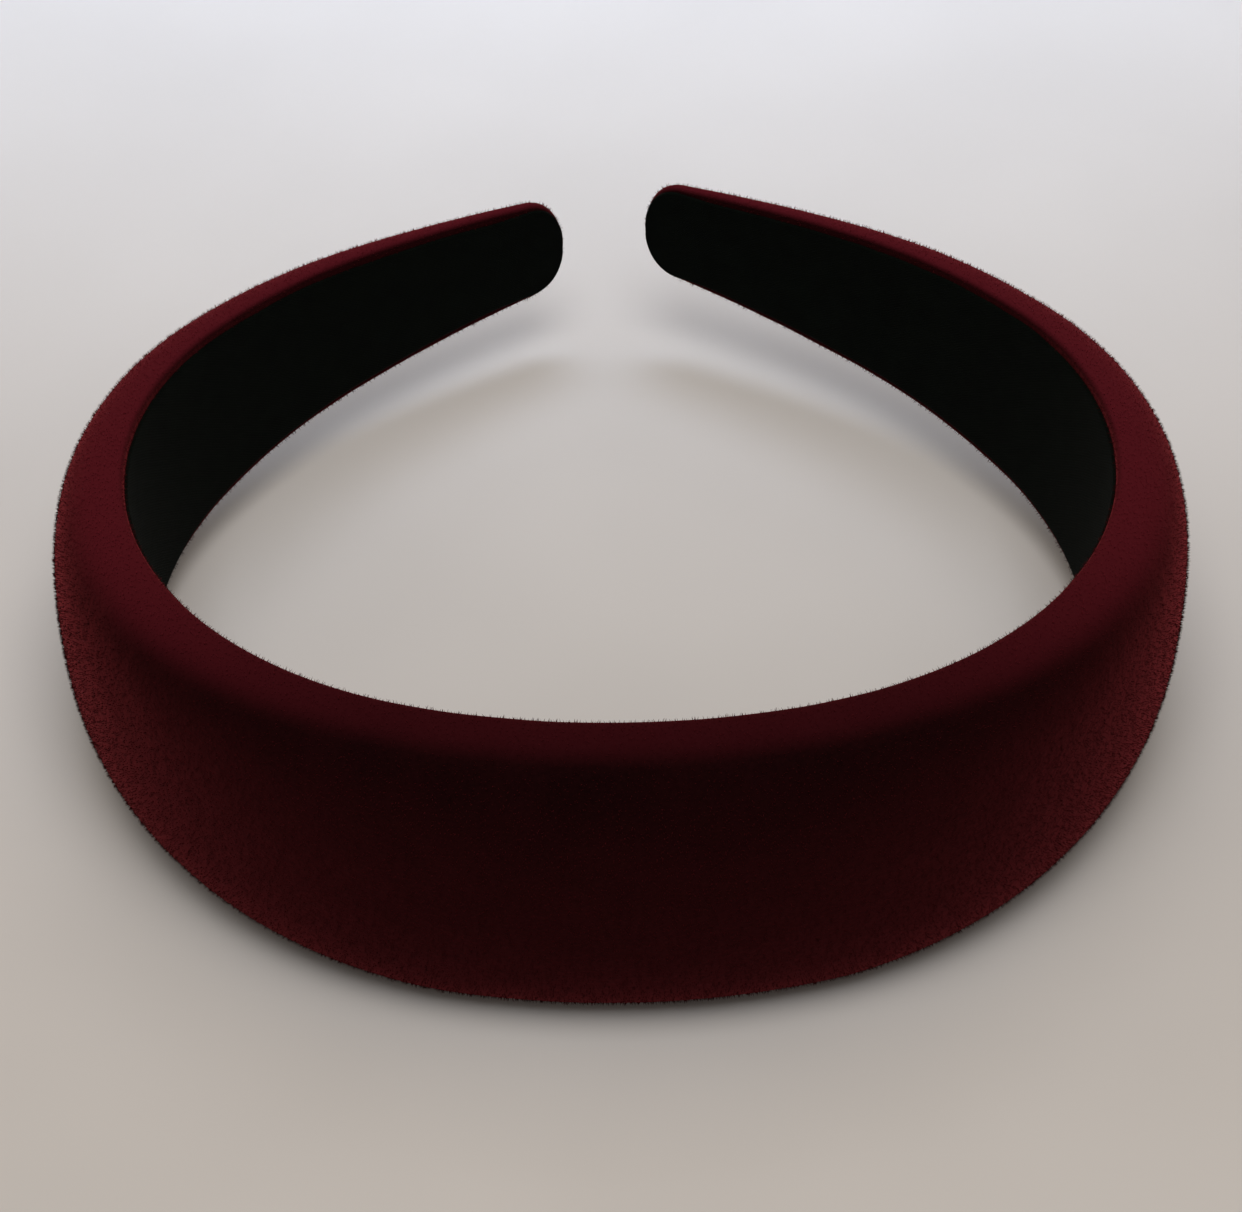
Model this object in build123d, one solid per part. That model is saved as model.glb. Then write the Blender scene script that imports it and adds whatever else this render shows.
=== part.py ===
from build123d import *
from math import cos, degrees, pi, radians, sin
import os

# Padded velvet headband (Alice band). It is one long strip, bent into an open C that grips
# the head, and it lies here on its long edge, as it does on a table.
#
# From the head outwards the strip is built up in layers: a woven lining, a foam tape that
# bonds it, a springy moulded core, a thin film of tape, a domed foam pad, and a velvet
# cover that wraps the whole, turned in over both long edges under the lining.
#
# The real band opens by bending all along the core. Here every layer is cut square at two
# flex planes, one each side of the crown, so that each arm turns about an upright hinge.
#
# Frame: X across the head, +Y from the crown towards the two tips, +Z up. The origin is at
# the middle of the band's footprint, on the surface it stands on. Units: mm and degrees.

# --- plan of the head-side face, from the middle of the crown to one tip ---------------
PLAN_ARCS = [  # radius and turn of each arc, every arc tangent to the one before
    (93.0, 13.0),  # front of the crown, a little flattened
    (55.0, 109.6),  # round the side of the head
    (92.0, 18.0),  # behind the ear
    (209.0, 10.0),  # the nearly straight end of the arm
]
FLEX_HEADING = 45.0  # plan angle at which an arm starts to turn away from the crown
FLEX_GAP = 0.3  # clear cut between the crown and an arm

# --- the strip's outer shape ------------------------------------------------------------
CROWN_HALF_HEIGHT = 22.6  # half of the strip's width, which stands upright here
TIP_HALF_HEIGHT = 8.0
HEIGHT_TAPER_START = 0.12  # share of the half-length over which the width stays full
HEIGHT_TAPER_POWER = 1.3
CROWN_THICKNESS = 11.3  # over lining, core, foam and velvet
TIP_THICKNESS = 2.7
THICKNESS_TAPER_START = 0.40
THICKNESS_TAPER_POWER = 1.6
TIP_DROOP = 3.1  # how far the middle of the strip sinks from crown to tip
TIP_ROUNDING = 6.7  # length of the rounded end
DOME_FULLNESS = 0.73  # 0.55 would make the domed outer face an ellipse, 1.0 a box
EDGE_ROLL = 0.8  # radius of the velvet where it turns on to the head side
REST_FLAT_DEPTH = 0.15  # how far the pile is pressed flat where the band stands

# --- layers, counted outwards from the head side ----------------------------------------
LINING_THICKNESS = 0.4
LINING_MARGIN = 1.6  # velvet left showing along each long edge
TIP_MARGIN = 0.4  # the same round the tips, where the lining runs almost to the edge
TIP_MARGIN_LENGTH = 12.0  # length over which the margin narrows
HEM_THICKNESS = 0.55  # velvet turned in under the lining
HEM_WIDTH = 6.0
TIP_HEM_LENGTH = 9.0
COVER_THICKNESS = 0.8
CORE_THICKNESS = 1.8
CORE_TIP_THICKNESS = 0.7
CORE_THINS_FROM = 0.70  # share of the half-length
CORE_EDGE_GAP = 0.3
CORE_TIP_EDGE_GAP = 0.9
FILM_THICKNESS = 0.15
FILM_EDGE_GAP = 2.0
FOAM_TIP_GAP = 11.0  # the foam is feathered out this far from the tip
LAYER_GAP = 0.05  # clearance between neighbouring layers

# --- how finely a tapering layer is drawn -------------------------------------------------
STATION_SPACING = 5.0
THIN_STATION_SPACING = 3.0  # for cloth and tape, drawn straight from station to station
REACH = 40.0  # larger than any section, for cutting tools

HALF_LENGTH = sum(radius * radians(turn) for radius, turn in PLAN_ARCS)
HEM_FACE = LINING_THICKNESS + LAYER_GAP  # where the velvet starts on the head side
CORE_FACE = HEM_FACE + HEM_THICKNESS  # head side of the space inside the cover


def plan_at(distance):
    """Point and heading of the head-side face, that far along it from the crown."""
    x, y, heading, left = 0.0, 0.0, 0.0, abs(distance)
    for radius, turn in PLAN_ARCS:
        step = min(left / radius, radians(turn))
        x += radius * (sin(heading + step) - sin(heading))
        y -= radius * (cos(heading + step) - cos(heading))
        heading += step
        left -= radius * step
    side = 1.0 if distance >= 0 else -1.0
    return side * x, y, side * heading


def distance_at_heading(heading):
    """Distance from the crown at which the face has turned by that angle."""
    distance, left = 0.0, heading
    for radius, turn in PLAN_ARCS:
        step = min(left, turn)
        distance += radius * radians(step)
        left -= step
    return distance


def taper(crown, tip, start, power, distance):
    """A size that stays full near the crown, then falls to its value at the tip."""
    share = abs(distance) / HALF_LENGTH
    run = max(0.0, (share - start) / (1.0 - start))
    return tip + (crown - tip) * (1.0 - run**power)


def half_height(distance):
    return taper(CROWN_HALF_HEIGHT, TIP_HALF_HEIGHT, HEIGHT_TAPER_START, HEIGHT_TAPER_POWER, distance)


def thickness(distance):
    return taper(CROWN_THICKNESS, TIP_THICKNESS, THICKNESS_TAPER_START, THICKNESS_TAPER_POWER, distance)


def core_thickness(distance):
    return taper(CORE_THICKNESS, CORE_TIP_THICKNESS, CORE_THINS_FROM, 1.0, distance)


def core_edge_gap(distance):
    return taper(CORE_EDGE_GAP, CORE_TIP_EDGE_GAP, CORE_THINS_FROM, 1.0, distance)


def film_top(distance):
    """Outer face of the tape film that holds the foam to the core."""
    return CORE_FACE + core_thickness(distance) + 2 * LAYER_GAP + FILM_THICKNESS


def lining_margin(distance):
    to_tip = HALF_LENGTH - abs(distance)
    share = min(1.0, to_tip / TIP_MARGIN_LENGTH)
    return TIP_MARGIN + (LINING_MARGIN - TIP_MARGIN) * share


def section_plane(distance):
    """Upright plane across the strip: local X is up, local Y is away from the head."""
    x, y, heading = plan_at(distance)
    sink = TIP_DROOP * (distance / HALF_LENGTH) ** 2
    return Plane(origin=(x, y, -sink), x_dir=(0, 0, 1), z_dir=(cos(heading), sin(heading), 0))


def squarish_arch(half, rise, base=0.0):
    """Two curves from one foot of an arch to its crest and down to the other foot."""
    crest = (0, base + rise)
    shoulder, side = DOME_FULLNESS * half, base + DOME_FULLNESS * rise
    return [
        Bezier((-half, base), (-half, side), (-shoulder, base + rise), crest),
        Bezier(crest, (shoulder, base + rise), (half, side), (half, base)),
    ]


def domed_section(half, base, top, roll=0.0):
    """Flat towards the head and domed away from it, with its two long corners rolled."""
    spring, flat = base + roll, half - roll
    outline = squarish_arch(half, top - spring, spring)
    if roll:
        outline.append(RadiusArc((half, spring), (flat, base), roll))
    outline.append(Line((flat, base), (-flat, base)))
    if roll:
        outline.append(RadiusArc((-flat, base), (-half, spring), roll))
    return make_face(outline)


def flat_section(half, base, top, rounding=0.0):
    """A flat strip, with its long edges rounded if asked."""
    face = Pos(0, (base + top) / 2) * Rectangle(2 * half, top - base)
    return fillet(face.vertices(), rounding) if rounding else face


def sections_along(section, start, end, spacing):
    """A layer's section at even stations, each on its own plane."""
    count = max(2, round((end - start) / spacing))
    stations = [start + (end - start) * k / count for k in range(count + 1)]
    return [section_plane(s) * section(s) for s in stations]


def strip(section, start, end):
    """A layer of the strip, drawn smoothly through its stations."""
    return loft(sections_along(section, start, end, STATION_SPACING))


def thin_strip(section, start, end):
    """A layer of cloth or tape, in short straight runs that keep its thickness true."""
    return loft(sections_along(section, start, end, THIN_STATION_SPACING), ruled=True)


def beyond_rounded_tip(inset):
    """What a layer loses at the right tip: all that lies outside its rounded end."""
    length = TIP_ROUNDING - inset
    half = half_height(HALF_LENGTH - TIP_ROUNDING) - inset
    kept = make_face([*squarish_arch(half, length), Line((half, 0), (-half, 0))])
    kept += Pos(0, -REACH / 2) * Rectangle(2 * half, REACH)
    start = HALF_LENGTH - TIP_ROUNDING
    x, y, heading = plan_at(HALF_LENGTH)
    back = Vector(cos(heading), sin(heading)) * TIP_ROUNDING
    face_plane = Plane(
        origin=(x - back.X, y - back.Y, section_plane(start).origin.Z),
        x_dir=(0, 0, 1),
        z_dir=(-sin(heading), cos(heading), 0),
    )
    block = Pos(0, REACH / 4) * Rectangle(REACH, REACH / 2)
    return extrude(face_plane * (block - kept), REACH / 2, both=True)


def mirrored(shape):
    return mirror(shape, about=Plane.YZ)


# --- one section for each layer -----------------------------------------------------------
def cover_outside(s):
    return domed_section(half_height(s), HEM_FACE, thickness(s), EDGE_ROLL)


def cover_inside(s):
    half = half_height(s) - COVER_THICKNESS
    return domed_section(half, CORE_FACE, thickness(s) - COVER_THICKNESS)


def hem_window(s):
    """The gap between the two turned-in edges of the cover."""
    half = half_height(s) - HEM_WIDTH
    return flat_section(half, HEM_FACE - 1.0, CORE_FACE + 1.0)


def lining_section(s):
    return flat_section(half_height(s) - lining_margin(s), 0.0, LINING_THICKNESS)


def lining_tape_section(s):
    half = half_height(s) - HEM_WIDTH - LAYER_GAP
    return flat_section(half, HEM_FACE, CORE_FACE)


def core_section(s):
    half = half_height(s) - COVER_THICKNESS - core_edge_gap(s)
    base = CORE_FACE + LAYER_GAP
    deep = core_thickness(s)
    return flat_section(half, base, base + deep, 0.4 * deep)


def film_section(s):
    top = film_top(s)
    return flat_section(half_height(s) - FILM_EDGE_GAP, top - FILM_THICKNESS, top)


def padding_section(s):
    """The foam's domed outline, carried down to the head side of the core."""
    inset = COVER_THICKNESS + 2 * LAYER_GAP
    return domed_section(half_height(s) - inset, CORE_FACE, thickness(s) - inset)


def under_foam(s):
    """What the core and its film take out of the padding."""
    return flat_section(half_height(s), CORE_FACE - 1.0, film_top(s) + LAYER_GAP)


# --- build each stretch of the strip ------------------------------------------------------
def layers(start, end, at_tip):
    """Every layer of one stretch, by name. A stretch that holds a tip is rounded there."""
    tip_start = HALF_LENGTH - TIP_HEM_LENGTH
    window_end = min(end, tip_start)
    foam_end = min(end, HALF_LENGTH - FOAM_TIP_GAP)
    # The space inside the cover runs out through each cut end, but stops short of a tip.
    inside = strip(cover_inside, start, end)
    made = {
        "velvet_cover": strip(cover_outside, start, end),
        "lining": thin_strip(lining_section, start, end),
        "core": strip(core_section, start, end),
    }
    if at_tip:
        inside -= beyond_rounded_tip(COVER_THICKNESS)
        made["velvet_cover"] -= beyond_rounded_tip(0.0)
        made["lining"] -= beyond_rounded_tip(TIP_MARGIN)
        made["core"] -= beyond_rounded_tip(COVER_THICKNESS + LAYER_GAP)
    made["velvet_cover"] -= inside
    made["velvet_cover"] -= strip(hem_window, start, window_end)
    made["foam_pad"] = strip(padding_section, start, foam_end) - strip(under_foam, start, foam_end)
    made["pad_film"] = thin_strip(film_section, start, foam_end)
    made["lining_tape"] = thin_strip(lining_tape_section, start, window_end - LAYER_GAP)
    return made


flex_distance = distance_at_heading(FLEX_HEADING)
crown = layers(-flex_distance + FLEX_GAP / 2, flex_distance - FLEX_GAP / 2, at_tip=False)
right_arm = layers(flex_distance + FLEX_GAP / 2, HALF_LENGTH, at_tip=True)
left_arm = {name: mirrored(shape) for name, shape in right_arm.items()}

floor = -CROWN_HALF_HEIGHT + REST_FLAT_DEPTH
below_floor = Pos(0, 0, floor - REACH / 2) * Box(10 * REACH, 10 * REACH, REACH)
crown["velvet_cover"] -= below_floor

# --- put the origin at the middle of the footprint and write the nodes --------------------
tip_x, tip_y, tip_heading = plan_at(HALF_LENGTH)
front = -CROWN_THICKNESS
back = tip_y - TIP_THICKNESS * cos(tip_heading)
to_origin = Pos(0, -(front + back) / 2, -floor)

os.makedirs("parts", exist_ok=True)
for stretch, pieces in (("crown", crown), ("left_arm", left_arm), ("right_arm", right_arm)):
    for layer, shape in pieces.items():
        export_step(to_origin * shape, f"parts/{stretch}_{layer}.step")

# --- the right arm's hinge stands just outside the strip at the flex plane -----------------
x, y, heading = plan_at(flex_distance)
out = thickness(flex_distance) + FLEX_GAP
hinge = to_origin.position + Vector(x + out * sin(heading), y - out * cos(heading), 0)
print("right arm hinge at", tuple(round(v, 2) for v in hinge))
print("half length", round(HALF_LENGTH, 1), "flex plane at", round(flex_distance, 1))
print("tip heading", round(degrees(tip_heading), 1), "gap between tips", round(2 * tip_x, 1))
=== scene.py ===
"""Looks of a padded velvet headband, an open C that lies on its long edge on a pale table.

The strip is described once, in StripForm: its plan is four tangent arcs from the crown to a
tip, and its width and thickness taper along them. Each bonded layer is a class that draws
two skins over that form, and makes a left and a right half that meet in the middle of the
crown.
Sizes are in metres, in the frame's own coordinates: +Y from the crown to the tips, +Z up.
"""

import logging
from abc import ABC, abstractmethod
from dataclasses import dataclass, field
from enum import Enum
from math import cos, radians, sin
from typing import Any

import bmesh
import bpy
import numpy as np
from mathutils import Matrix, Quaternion, Vector, noise


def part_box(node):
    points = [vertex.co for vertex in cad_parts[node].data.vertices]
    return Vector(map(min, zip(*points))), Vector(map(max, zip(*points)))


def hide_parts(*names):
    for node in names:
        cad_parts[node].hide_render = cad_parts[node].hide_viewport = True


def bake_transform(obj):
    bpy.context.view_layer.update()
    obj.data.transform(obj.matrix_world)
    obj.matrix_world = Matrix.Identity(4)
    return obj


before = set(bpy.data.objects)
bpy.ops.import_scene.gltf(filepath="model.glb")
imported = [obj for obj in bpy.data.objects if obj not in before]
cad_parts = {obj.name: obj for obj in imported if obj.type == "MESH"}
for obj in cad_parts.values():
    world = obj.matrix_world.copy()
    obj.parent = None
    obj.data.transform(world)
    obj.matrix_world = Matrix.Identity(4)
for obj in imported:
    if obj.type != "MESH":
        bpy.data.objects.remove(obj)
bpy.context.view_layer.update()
MM = 0.001
PAINTED_EDGE_HIGHLIGHT = "painted_edge_highlight"  # painted highlight along the long edges: how much of it each point of the velvet gets
log = logging.getLogger("headband")


class Side(Enum):
    """The two halves of the band, named as seen from the crown towards the tips."""

    LEFT = -1.0
    RIGHT = 1.0

    @property
    def arm(self) -> str:
        """The name of the CAD arm, whose layers this half replaces."""
        return f"{self.name.lower()}_arm"


# --- helpers ---------------------------------------------------------------------------------
def linear(code: str) -> tuple[float, float, float, float]:
    """Turn an sRGB hex colour into linear light.

    Args:
        code: Six hex digits, with or without a leading #.

    Returns:
        Red, green, blue and an alpha of 1, as a shader socket takes them.
    """
    shares = [int(code.lstrip("#")[k : k + 2], 16) / 255 for k in (0, 2, 4)]
    light = [s / 12.92 if s <= 0.04045 else ((s + 0.055) / 1.055) ** 2.4 for s in shares]
    return (*light, 1.0)


def socket_of(sockets: Any, key: str | int) -> bpy.types.NodeSocket:
    """Find a node's socket.

    Args:
        sockets: The inputs or outputs of a node.
        key: The socket's identifier, or else its name or its number.

    Returns:
        The socket.
    """
    return next((s for s in sockets if s.identifier == key), None) or sockets[key]


def add(
    tree: bpy.types.NodeTree,
    kind: str,
    inputs: dict[str | int, Any] | None = None,
    gives: str | int = 0,
    **settings: Any,
) -> bpy.types.NodeSocket | None:
    """Add a node to a tree, with its settings and what feeds it.

    Args:
        tree: The tree of a material or of geometry.
        kind: The node's type, such as ShaderNodeMath.
        inputs: A plain value or another node's output for each input, by its key.
        gives: The key of the output that is wanted.
        **settings: Properties of the node itself.

    Returns:
        The wanted output, or None from a node that ends a tree.
    """
    node = tree.nodes.new(kind)
    for name, value in settings.items():
        setattr(node, name, value)
    for key, value in (inputs or {}).items():
        socket = socket_of(node.inputs, key)
        if isinstance(value, bpy.types.NodeSocket):
            tree.links.new(value, socket)
        else:
            socket.default_value = value
    return socket_of(node.outputs, gives) if len(node.outputs) else None


def put(name: str, data: Any) -> bpy.types.Object:
    """Put a mesh, a lamp or a camera into the scene.

    Args:
        name: What it is called.
        data: The mesh, lamp or camera.

    Returns:
        The new object, at the origin.
    """
    placed = bpy.data.objects.new(name, data)
    bpy.context.scene.collection.objects.link(placed)
    return placed


# --- finishes --------------------------------------------------------------------------------
SOFT = {"From Min": 0.3, "From Max": 0.7}  # the part of a soft random pattern that shows


@dataclass(frozen=True)
class Finish(ABC):
    """A surface: one Principled shader whose colour, roughness and bump come from nodes."""

    name: str

    def material(self) -> bpy.types.Material:
        """Make the finish's material, or find the one already made.

        Returns:
            A material with the finish's name.
        """
        known = bpy.data.materials.get(self.name)
        if known:
            return known
        material = bpy.data.materials.new(self.name)
        material.use_nodes = True
        tree = material.node_tree
        tree.nodes.clear()
        shader = add(tree, "ShaderNodeBsdfPrincipled", self.dress(tree))
        add(tree, "ShaderNodeOutputMaterial", {"Surface": shader})
        return material

    @abstractmethod
    def dress(self, tree: bpy.types.NodeTree) -> dict[str, Any]:
        """Lay out the finish's colours and patterns.

        Args:
            tree: The material's node tree.

        Returns:
            A value or a pattern for each input of the shader that the finish sets.
        """

    @staticmethod
    def mottle(
        tree: bpy.types.NodeTree, size: float, detail: float = 2.0
    ) -> bpy.types.NodeSocket:
        """Add a soft random pattern that is fixed to the piece.

        Args:
            tree: The material's node tree.
            size: The real size of one patch, in metres.
            detail: How many finer octaves are added.

        Returns:
            A value from 0 to 1, mostly near the middle.
        """
        where = add(tree, "ShaderNodeTexCoord", gives="Object")
        patches = {"Vector": where, "Scale": 1.0 / size, "Detail": detail}
        return add(tree, "ShaderNodeTexNoise", patches, "Fac")


@dataclass(frozen=True)
class PileVelvet(Finish):
    """Woven velvet with a short cut pile of dyed polyester.

    The cut ends take light in, so it is nearly black seen square on, and the sides of the
    fibres give it back at a flat angle, as a rosy bloom along every edge.
    """

    name: str = "burgundy_cut_pile_velvet"
    deep: str = "#0f0304"  # between the fibres
    lit: str = "#1e0608"  # on the fibres' ends
    opened: str = "#4a121a"  # painted highlight, mixed in where the velvet's long edges tilt up or down
    bloom: str = "#c4444c"
    bloom_strength: float = 0.6
    bloom_spread: float = 0.42
    clump: float = 0.55 * MM  # a tuft is about 0.2 mm, drawn as coarse as it can show
    clump_share: float = 0.45  # how much of the lit colour the tufts bring
    clump_depth: float = 0.06 * MM
    crush: float = 7.0 * MM  # patches where a hand has stroked the pile
    crush_share: float = 0.3
    crush_depth: float = 0.2 * MM

    def dress(self, tree: bpy.types.NodeTree) -> dict[str, Any]:
        """Mottle the pile in tufts and in stroked patches, mix in the painted edge highlight, and
        set its bloom.

        Args:
            tree: The material's node tree.

        Returns:
            What feeds each input of the shader.
        """
        clump = self.mottle(tree, self.clump, 3.0)
        crush = self.mottle(tree, self.crush)
        tufts = {"Value": clump, **SOFT, "To Max": self.clump_share}
        strokes = {"Value": crush, **SOFT, "To Max": self.crush_share}
        shares = {
            0: add(tree, "ShaderNodeMapRange", tufts),
            1: add(tree, "ShaderNodeMapRange", strokes),
        }
        ends = {
            "Factor_Float": add(tree, "ShaderNodeMath", shares, operation="ADD"),
            "A_Color": linear(self.deep),
            "B_Color": linear(self.lit),
        }
        # the painted edge highlight stored on the mesh, lighter where the long edges tilt up or
        # down
        highlighted = {
            "Factor_Float": add(tree, "ShaderNodeAttribute", {}, "Fac", attribute_name=PAINTED_EDGE_HIGHLIGHT),
            "A_Color": add(tree, "ShaderNodeMix", ends, "Result_Color", data_type="RGBA"),
            "B_Color": linear(self.opened),
        }
        dull = {"Value": clump, **SOFT, "To Min": 0.95, "To Max": 0.8}
        hollows = add(tree, "ShaderNodeBump", {"Height": crush, "Distance": self.crush_depth})
        relief = {"Height": clump, "Distance": self.clump_depth, "Normal": hollows}
        return {
            "Base Color": add(tree, "ShaderNodeMix", highlighted, "Result_Color", data_type="RGBA"),
            "Roughness": add(tree, "ShaderNodeMapRange", dull),
            "Normal": add(tree, "ShaderNodeBump", relief),
            "Specular IOR Level": 0.02,
            "Sheen Weight": self.bloom_strength,
            "Sheen Roughness": self.bloom_spread,
            "Sheen Tint": linear(self.bloom),
        }


@dataclass(frozen=True)
class PileFibre(Finish):
    """The same dyed polyester, on single fibres: some are lighter than others."""

    name: str = "burgundy_polyester_fibre"
    deep: str = "#140405"
    lit: str = "#2c090c"
    # painted highlight for fibres on the long edges that tilt up or down
    opened: str = "#6a1b27"
    bloom: str = "#c4444c"
    shade: str = "fibre_shade"

    def dress(self, tree: bpy.types.NodeTree) -> dict[str, Any]:
        """Give each fibre its own shade of the dye, and mix in the painted edge highlight.

        Args:
            tree: The material's node tree.

        Returns:
            What feeds each input of the shader.
        """
        own = {
            "Factor_Float": add(tree, "ShaderNodeAttribute", {}, "Fac", attribute_name=self.shade),
            "A_Color": linear(self.deep),
            "B_Color": linear(self.lit),
        }
        # the painted edge highlight, taken up by the fibres from the ground they grow on
        highlighted = {
            "Factor_Float": add(tree, "ShaderNodeAttribute", {}, "Fac", attribute_name=PAINTED_EDGE_HIGHLIGHT),
            "A_Color": add(tree, "ShaderNodeMix", own, "Result_Color", data_type="RGBA"),
            "B_Color": linear(self.opened),
        }
        return {
            "Base Color": add(tree, "ShaderNodeMix", highlighted, "Result_Color", data_type="RGBA"),
            "Roughness": 0.8,
            "Specular IOR Level": 0.04,
            "Sheen Weight": 0.2,
            "Sheen Roughness": 0.5,
            "Sheen Tint": linear(self.bloom),
        }


@dataclass(frozen=True)
class WovenLining(Finish):
    """Plain-woven black polyester, pressed on flat: dull, with a fine even thread relief."""

    name: str = "black_plain_weave_lining"
    valley: str = "#020302"
    thread: str = "#080c09"
    faded: str = "#0a0f0b"
    lustre: str = "#4e5e50"
    spacing: float = 0.45 * MM  # real threads are 0.2 mm apart, too fine to show
    thread_depth: float = 0.06 * MM
    slub: float = 3.5 * MM
    slub_depth: float = 0.12 * MM
    cloth_unit: float = MM  # one unit of the cloth map

    def dress(self, tree: bpy.types.NodeTree) -> dict[str, Any]:
        """Cross two sets of threads on the cloth's own map.

        Args:
            tree: The material's node tree.

        Returns:
            What feeds each input of the shader.
        """
        turns = 2 * np.pi * self.cloth_unit / self.spacing
        cloth = {"Vector": add(tree, "ShaderNodeUVMap", uv_map="cloth"), "Scale": turns}
        angles = add(tree, "ShaderNodeVectorMath", cloth, operation="SCALE")
        waves = add(tree, "ShaderNodeVectorMath", {0: angles}, operation="SINE")
        sets = add(tree, "ShaderNodeSeparateXYZ", {"Vector": waves}).node.outputs
        crossing = {0: sets["X"], 1: sets["Y"]}
        crossed = add(tree, "ShaderNodeMath", crossing, operation="MULTIPLY")
        weave = add(tree, "ShaderNodeMapRange", {"Value": crossed, "From Min": -1.0})
        slub = self.mottle(tree, self.slub, 3.0)
        threads = {
            "Factor_Float": weave,
            "A_Color": linear(self.valley),
            "B_Color": linear(self.thread),
        }
        worn = {
            "Factor_Float": add(
                tree, "ShaderNodeMapRange", {"Value": slub, **SOFT, "To Max": 0.5}
            ),
            "A_Color": add(tree, "ShaderNodeMix", threads, "Result_Color", data_type="RGBA"),
            "B_Color": linear(self.faded),
        }
        dull = {"Value": weave, "To Min": 0.9, "To Max": 0.72}
        slubs = add(tree, "ShaderNodeBump", {"Height": slub, "Distance": self.slub_depth})
        relief = {"Height": weave, "Distance": self.thread_depth, "Normal": slubs}
        return {
            "Base Color": add(tree, "ShaderNodeMix", worn, "Result_Color", data_type="RGBA"),
            "Roughness": add(tree, "ShaderNodeMapRange", dull),
            "Normal": add(tree, "ShaderNodeBump", relief),
            "Specular IOR Level": 0.03,
            "Sheen Weight": 0.03,
            "Sheen Roughness": 0.5,
            "Sheen Tint": linear(self.lustre),
        }


@dataclass(frozen=True)
class MouldedPlastic(Finish):
    """Polypropylene, injection moulded in a spark-eroded tool: black, with a fine matt grain."""

    name: str = "black_moulded_polypropylene"
    body: str = "#121314"
    scuffed: str = "#1e2022"
    scuff: float = 9.0 * MM
    grit: float = 0.25 * MM
    grit_depth: float = 0.02 * MM

    def dress(self, tree: bpy.types.NodeTree) -> dict[str, Any]:
        """Grain the moulding and dull it in patches.

        Args:
            tree: The material's node tree.

        Returns:
            What feeds each input of the shader.
        """
        grit = self.mottle(tree, self.grit)
        patches = {"Value": self.mottle(tree, self.scuff, 4.0), **SOFT}
        scuff = add(tree, "ShaderNodeMapRange", patches)
        colours = {
            "Factor_Float": scuff,
            "A_Color": linear(self.body),
            "B_Color": linear(self.scuffed),
        }
        dull = {"Value": scuff, "To Min": 0.42, "To Max": 0.6}
        relief = {"Height": grit, "Distance": self.grit_depth}
        return {
            "Base Color": add(tree, "ShaderNodeMix", colours, "Result_Color", data_type="RGBA"),
            "Roughness": add(tree, "ShaderNodeMapRange", dull),
            "Normal": add(tree, "ShaderNodeBump", relief),
            "IOR": 1.49,
        }


@dataclass(frozen=True)
class OpenCellFoam(Finish):
    """Polyurethane foam, cut from a block: off-white and full of open cells."""

    name: str = "cut_polyurethane_foam"
    wall: str = "#ece7d8"
    cell_shade: str = "#b9b19b"
    cell: float = 0.7 * MM
    cell_depth: float = 0.2 * MM

    def dress(self, tree: bpy.types.NodeTree) -> dict[str, Any]:
        """Open the cells in colour and in relief.

        Args:
            tree: The material's node tree.

        Returns:
            What feeds each input of the shader.
        """
        where = add(tree, "ShaderNodeTexCoord", gives="Object")
        size = {"Vector": where, "Scale": 1.0 / self.cell}
        cells = add(tree, "ShaderNodeTexVoronoi", size, "Distance")
        openings = {"From Min": 0.15, "From Max": 0.5, "To Min": 1.0, "To Max": 0.0}
        opened = add(tree, "ShaderNodeMapRange", {"Value": cells, **openings})
        colours = {
            "Factor_Float": opened,
            "A_Color": linear(self.wall),
            "B_Color": linear(self.cell_shade),
        }
        dull = {"Value": opened, "To Min": 0.85, "To Max": 1.0}
        relief = {"Height": cells, "Distance": self.cell_depth}
        return {
            "Base Color": add(tree, "ShaderNodeMix", colours, "Result_Color", data_type="RGBA"),
            "Roughness": add(tree, "ShaderNodeMapRange", dull),
            "Normal": add(tree, "ShaderNodeBump", relief),
        }


@dataclass(frozen=True)
class TissueTape(Finish):
    """Double-sided tissue tape: a cloudy acrylic glue on a fibrous carrier."""

    name: str = "acrylic_tissue_tape"
    glue: str = "#dcd3b8"
    fibre: str = "#f1ecdd"
    strand: float = 0.8 * MM
    strand_depth: float = 0.03 * MM

    def dress(self, tree: bpy.types.NodeTree) -> dict[str, Any]:
        """Cloud the glue with the carrier's fibres.

        Args:
            tree: The material's node tree.

        Returns:
            What feeds each input of the shader.
        """
        strands = self.mottle(tree, self.strand, 5.0)
        colours = {
            "Factor_Float": add(tree, "ShaderNodeMapRange", {"Value": strands, **SOFT}),
            "A_Color": linear(self.glue),
            "B_Color": linear(self.fibre),
        }
        dull = {"Value": strands, **SOFT, "To Min": 0.25, "To Max": 0.5}
        relief = {"Height": strands, "Distance": self.strand_depth}
        return {
            "Base Color": add(tree, "ShaderNodeMix", colours, "Result_Color", data_type="RGBA"),
            "Roughness": add(tree, "ShaderNodeMapRange", dull),
            "Normal": add(tree, "ShaderNodeBump", relief),
        }


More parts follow.
